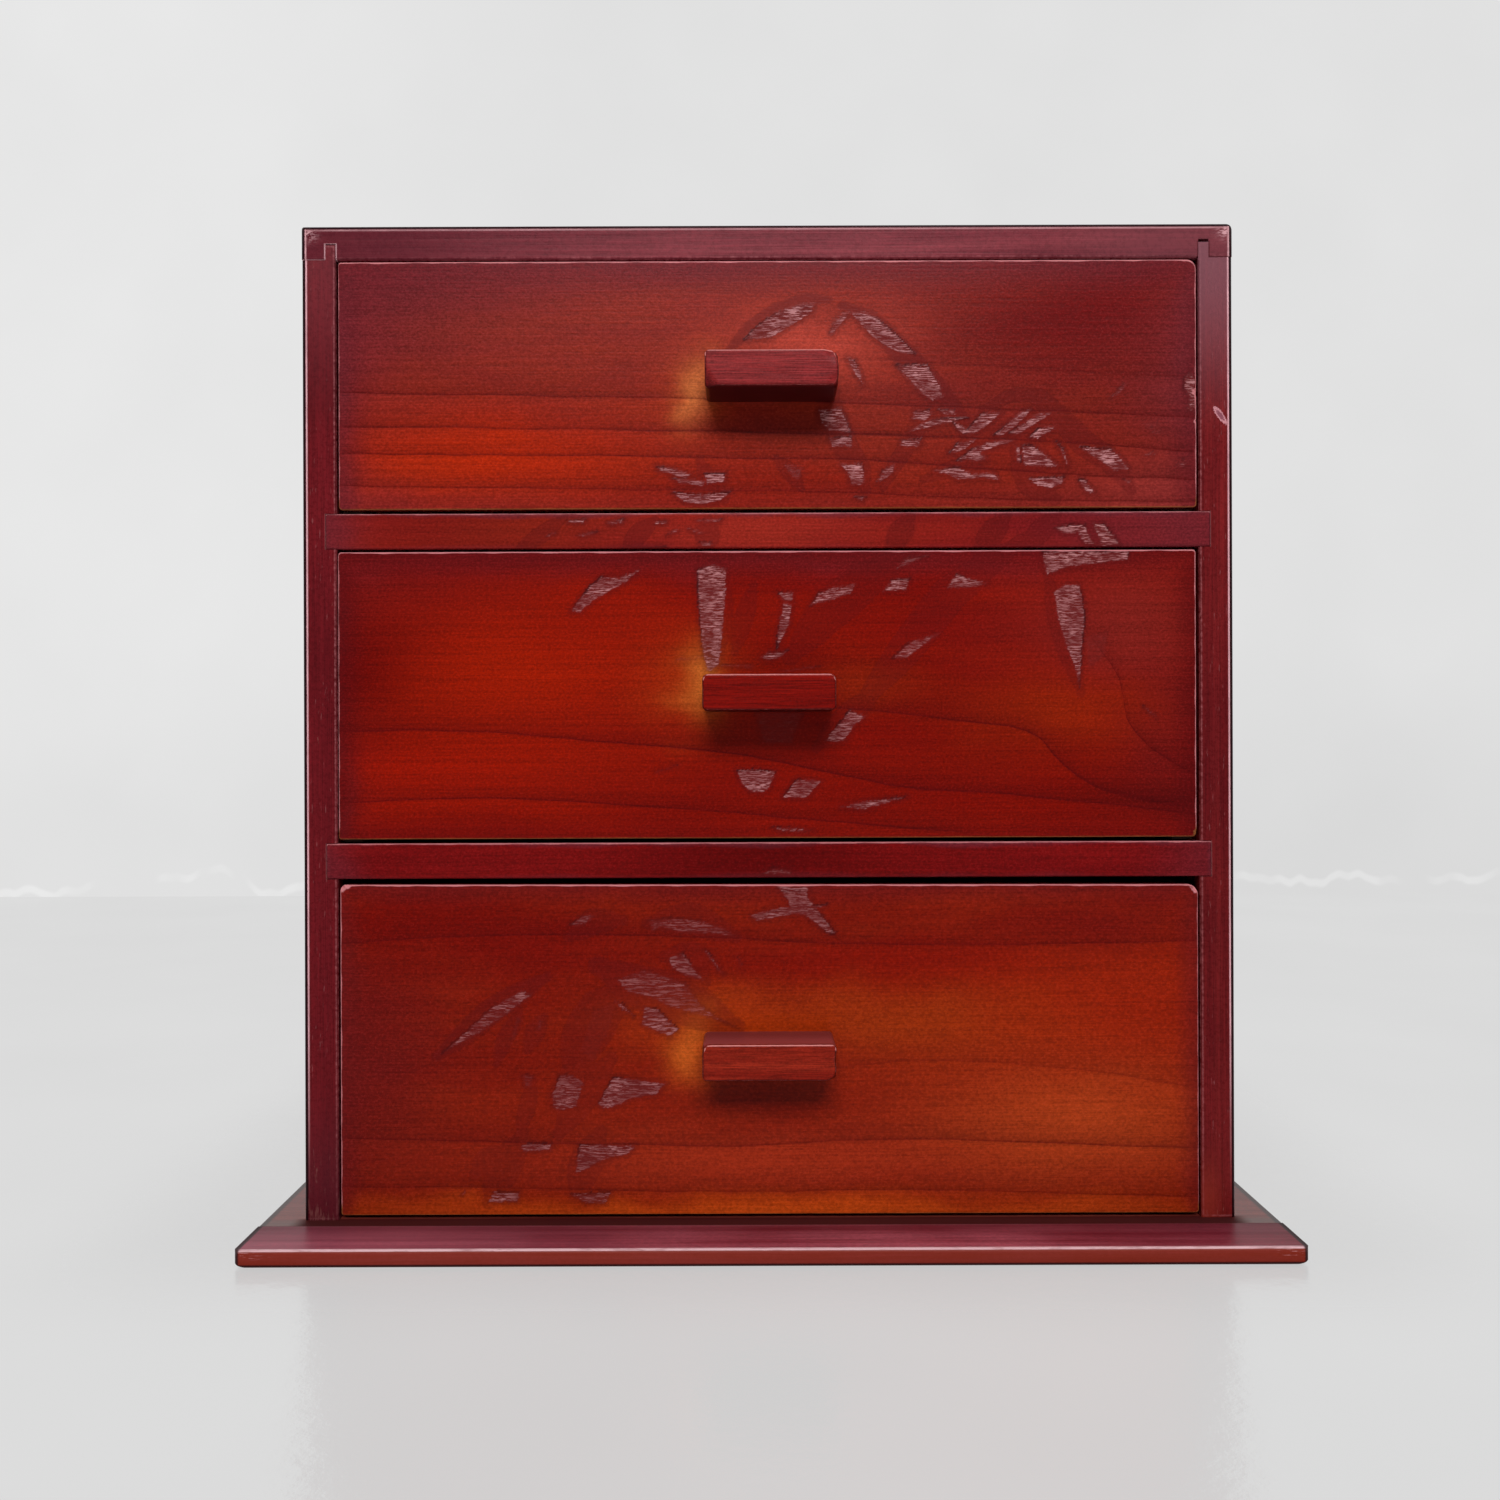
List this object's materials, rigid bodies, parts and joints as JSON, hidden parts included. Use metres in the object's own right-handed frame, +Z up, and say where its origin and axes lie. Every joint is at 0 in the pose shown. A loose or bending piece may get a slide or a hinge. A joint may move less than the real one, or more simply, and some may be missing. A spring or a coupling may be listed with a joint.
{
  "type": "tansu chest",
  "caption": "Small tabletop tansu chest: a tongued and housed case on a flared base board, with inset lapped drawers of growing height, bar pulls and shallow carved bamboo.",
  "frame": {"origin": "under the middle of the base board, on the surface that the chest stands on", "axes": "+X to the chest's right as seen from its front, +Y to its back, +Z up; the drawers open towards -Y"},
  "size_m": [0.359, 0.27, 0.3585],
  "materials": {
    "case_lacquer": "dark wine-red stain under satin lacquer",
    "rail_lacquer": "wine-red stain under satin lacquer",
    "front_lacquer": "red-orange stain shaded to wine red at the edges, under satin lacquer",
    "pull_lacquer": "wine-red stain, worn pale on the edges",
    "base_lacquer": "wine-red stain under gloss lacquer",
    "strip_lacquer": "wine-red stain under satin lacquer, scuffed",
    "runner_wood": "bare planed softwood",
    "drawer_wood": "bare planed softwood",
    "drawer_plywood": "thin bare plywood",
    "back_plywood": "thin bare plywood",
    "peg_wood": "bare peg wood",
    "screw_steel": "plain steel",
    "nail_steel": "dull steel"
  },
  "bodies": {
    "carcass": {"base_board": "base_lacquer", "base_front_strip": "strip_lacquer", "base_screws": "screw_steel", "side_board_left": "case_lacquer", "side_board_right": "case_lacquer", "top_board": "case_lacquer", "upper_rail": "rail_lacquer", "lower_rail": "rail_lacquer", "upper_runner_left": "runner_wood", "upper_runner_right": "runner_wood", "lower_runner_left": "runner_wood", "lower_runner_right": "runner_wood", "back_panel": "back_plywood", "back_nails": "nail_steel"},
    "top_drawer": {"top_drawer_front": "front_lacquer", "top_drawer_side_left": "drawer_wood", "top_drawer_side_right": "drawer_wood", "top_drawer_back": "drawer_wood", "top_drawer_bottom": "drawer_plywood", "top_drawer_pull": "pull_lacquer", "top_pull_screws": "screw_steel", "top_drawer_pegs": "peg_wood"},
    "middle_drawer": {"middle_drawer_front": "front_lacquer", "middle_drawer_side_left": "drawer_wood", "middle_drawer_side_right": "drawer_wood", "middle_drawer_back": "drawer_wood", "middle_drawer_bottom": "drawer_plywood", "middle_drawer_pull": "pull_lacquer", "middle_pull_screws": "screw_steel", "middle_drawer_pegs": "peg_wood"},
    "bottom_drawer": {"bottom_drawer_front": "front_lacquer", "bottom_drawer_side_left": "drawer_wood", "bottom_drawer_side_right": "drawer_wood", "bottom_drawer_back": "drawer_wood", "bottom_drawer_bottom": "drawer_plywood", "bottom_drawer_pull": "pull_lacquer", "bottom_pull_screws": "screw_steel", "bottom_drawer_pegs": "peg_wood"}
  },
  "joints": [
    {"name": "top_drawer_slide", "type": "slide", "parent": "carcass", "child": "top_drawer", "axis": [0, -1, 0], "range_m": [0, 0.18]},
    {"name": "middle_drawer_slide", "type": "slide", "parent": "carcass", "child": "middle_drawer", "axis": [0, -1, 0], "range_m": [0, 0.18]},
    {"name": "bottom_drawer_slide", "type": "slide", "parent": "carcass", "child": "bottom_drawer", "axis": [0, -1, 0], "range_m": [0, 0.18]}
  ]
}
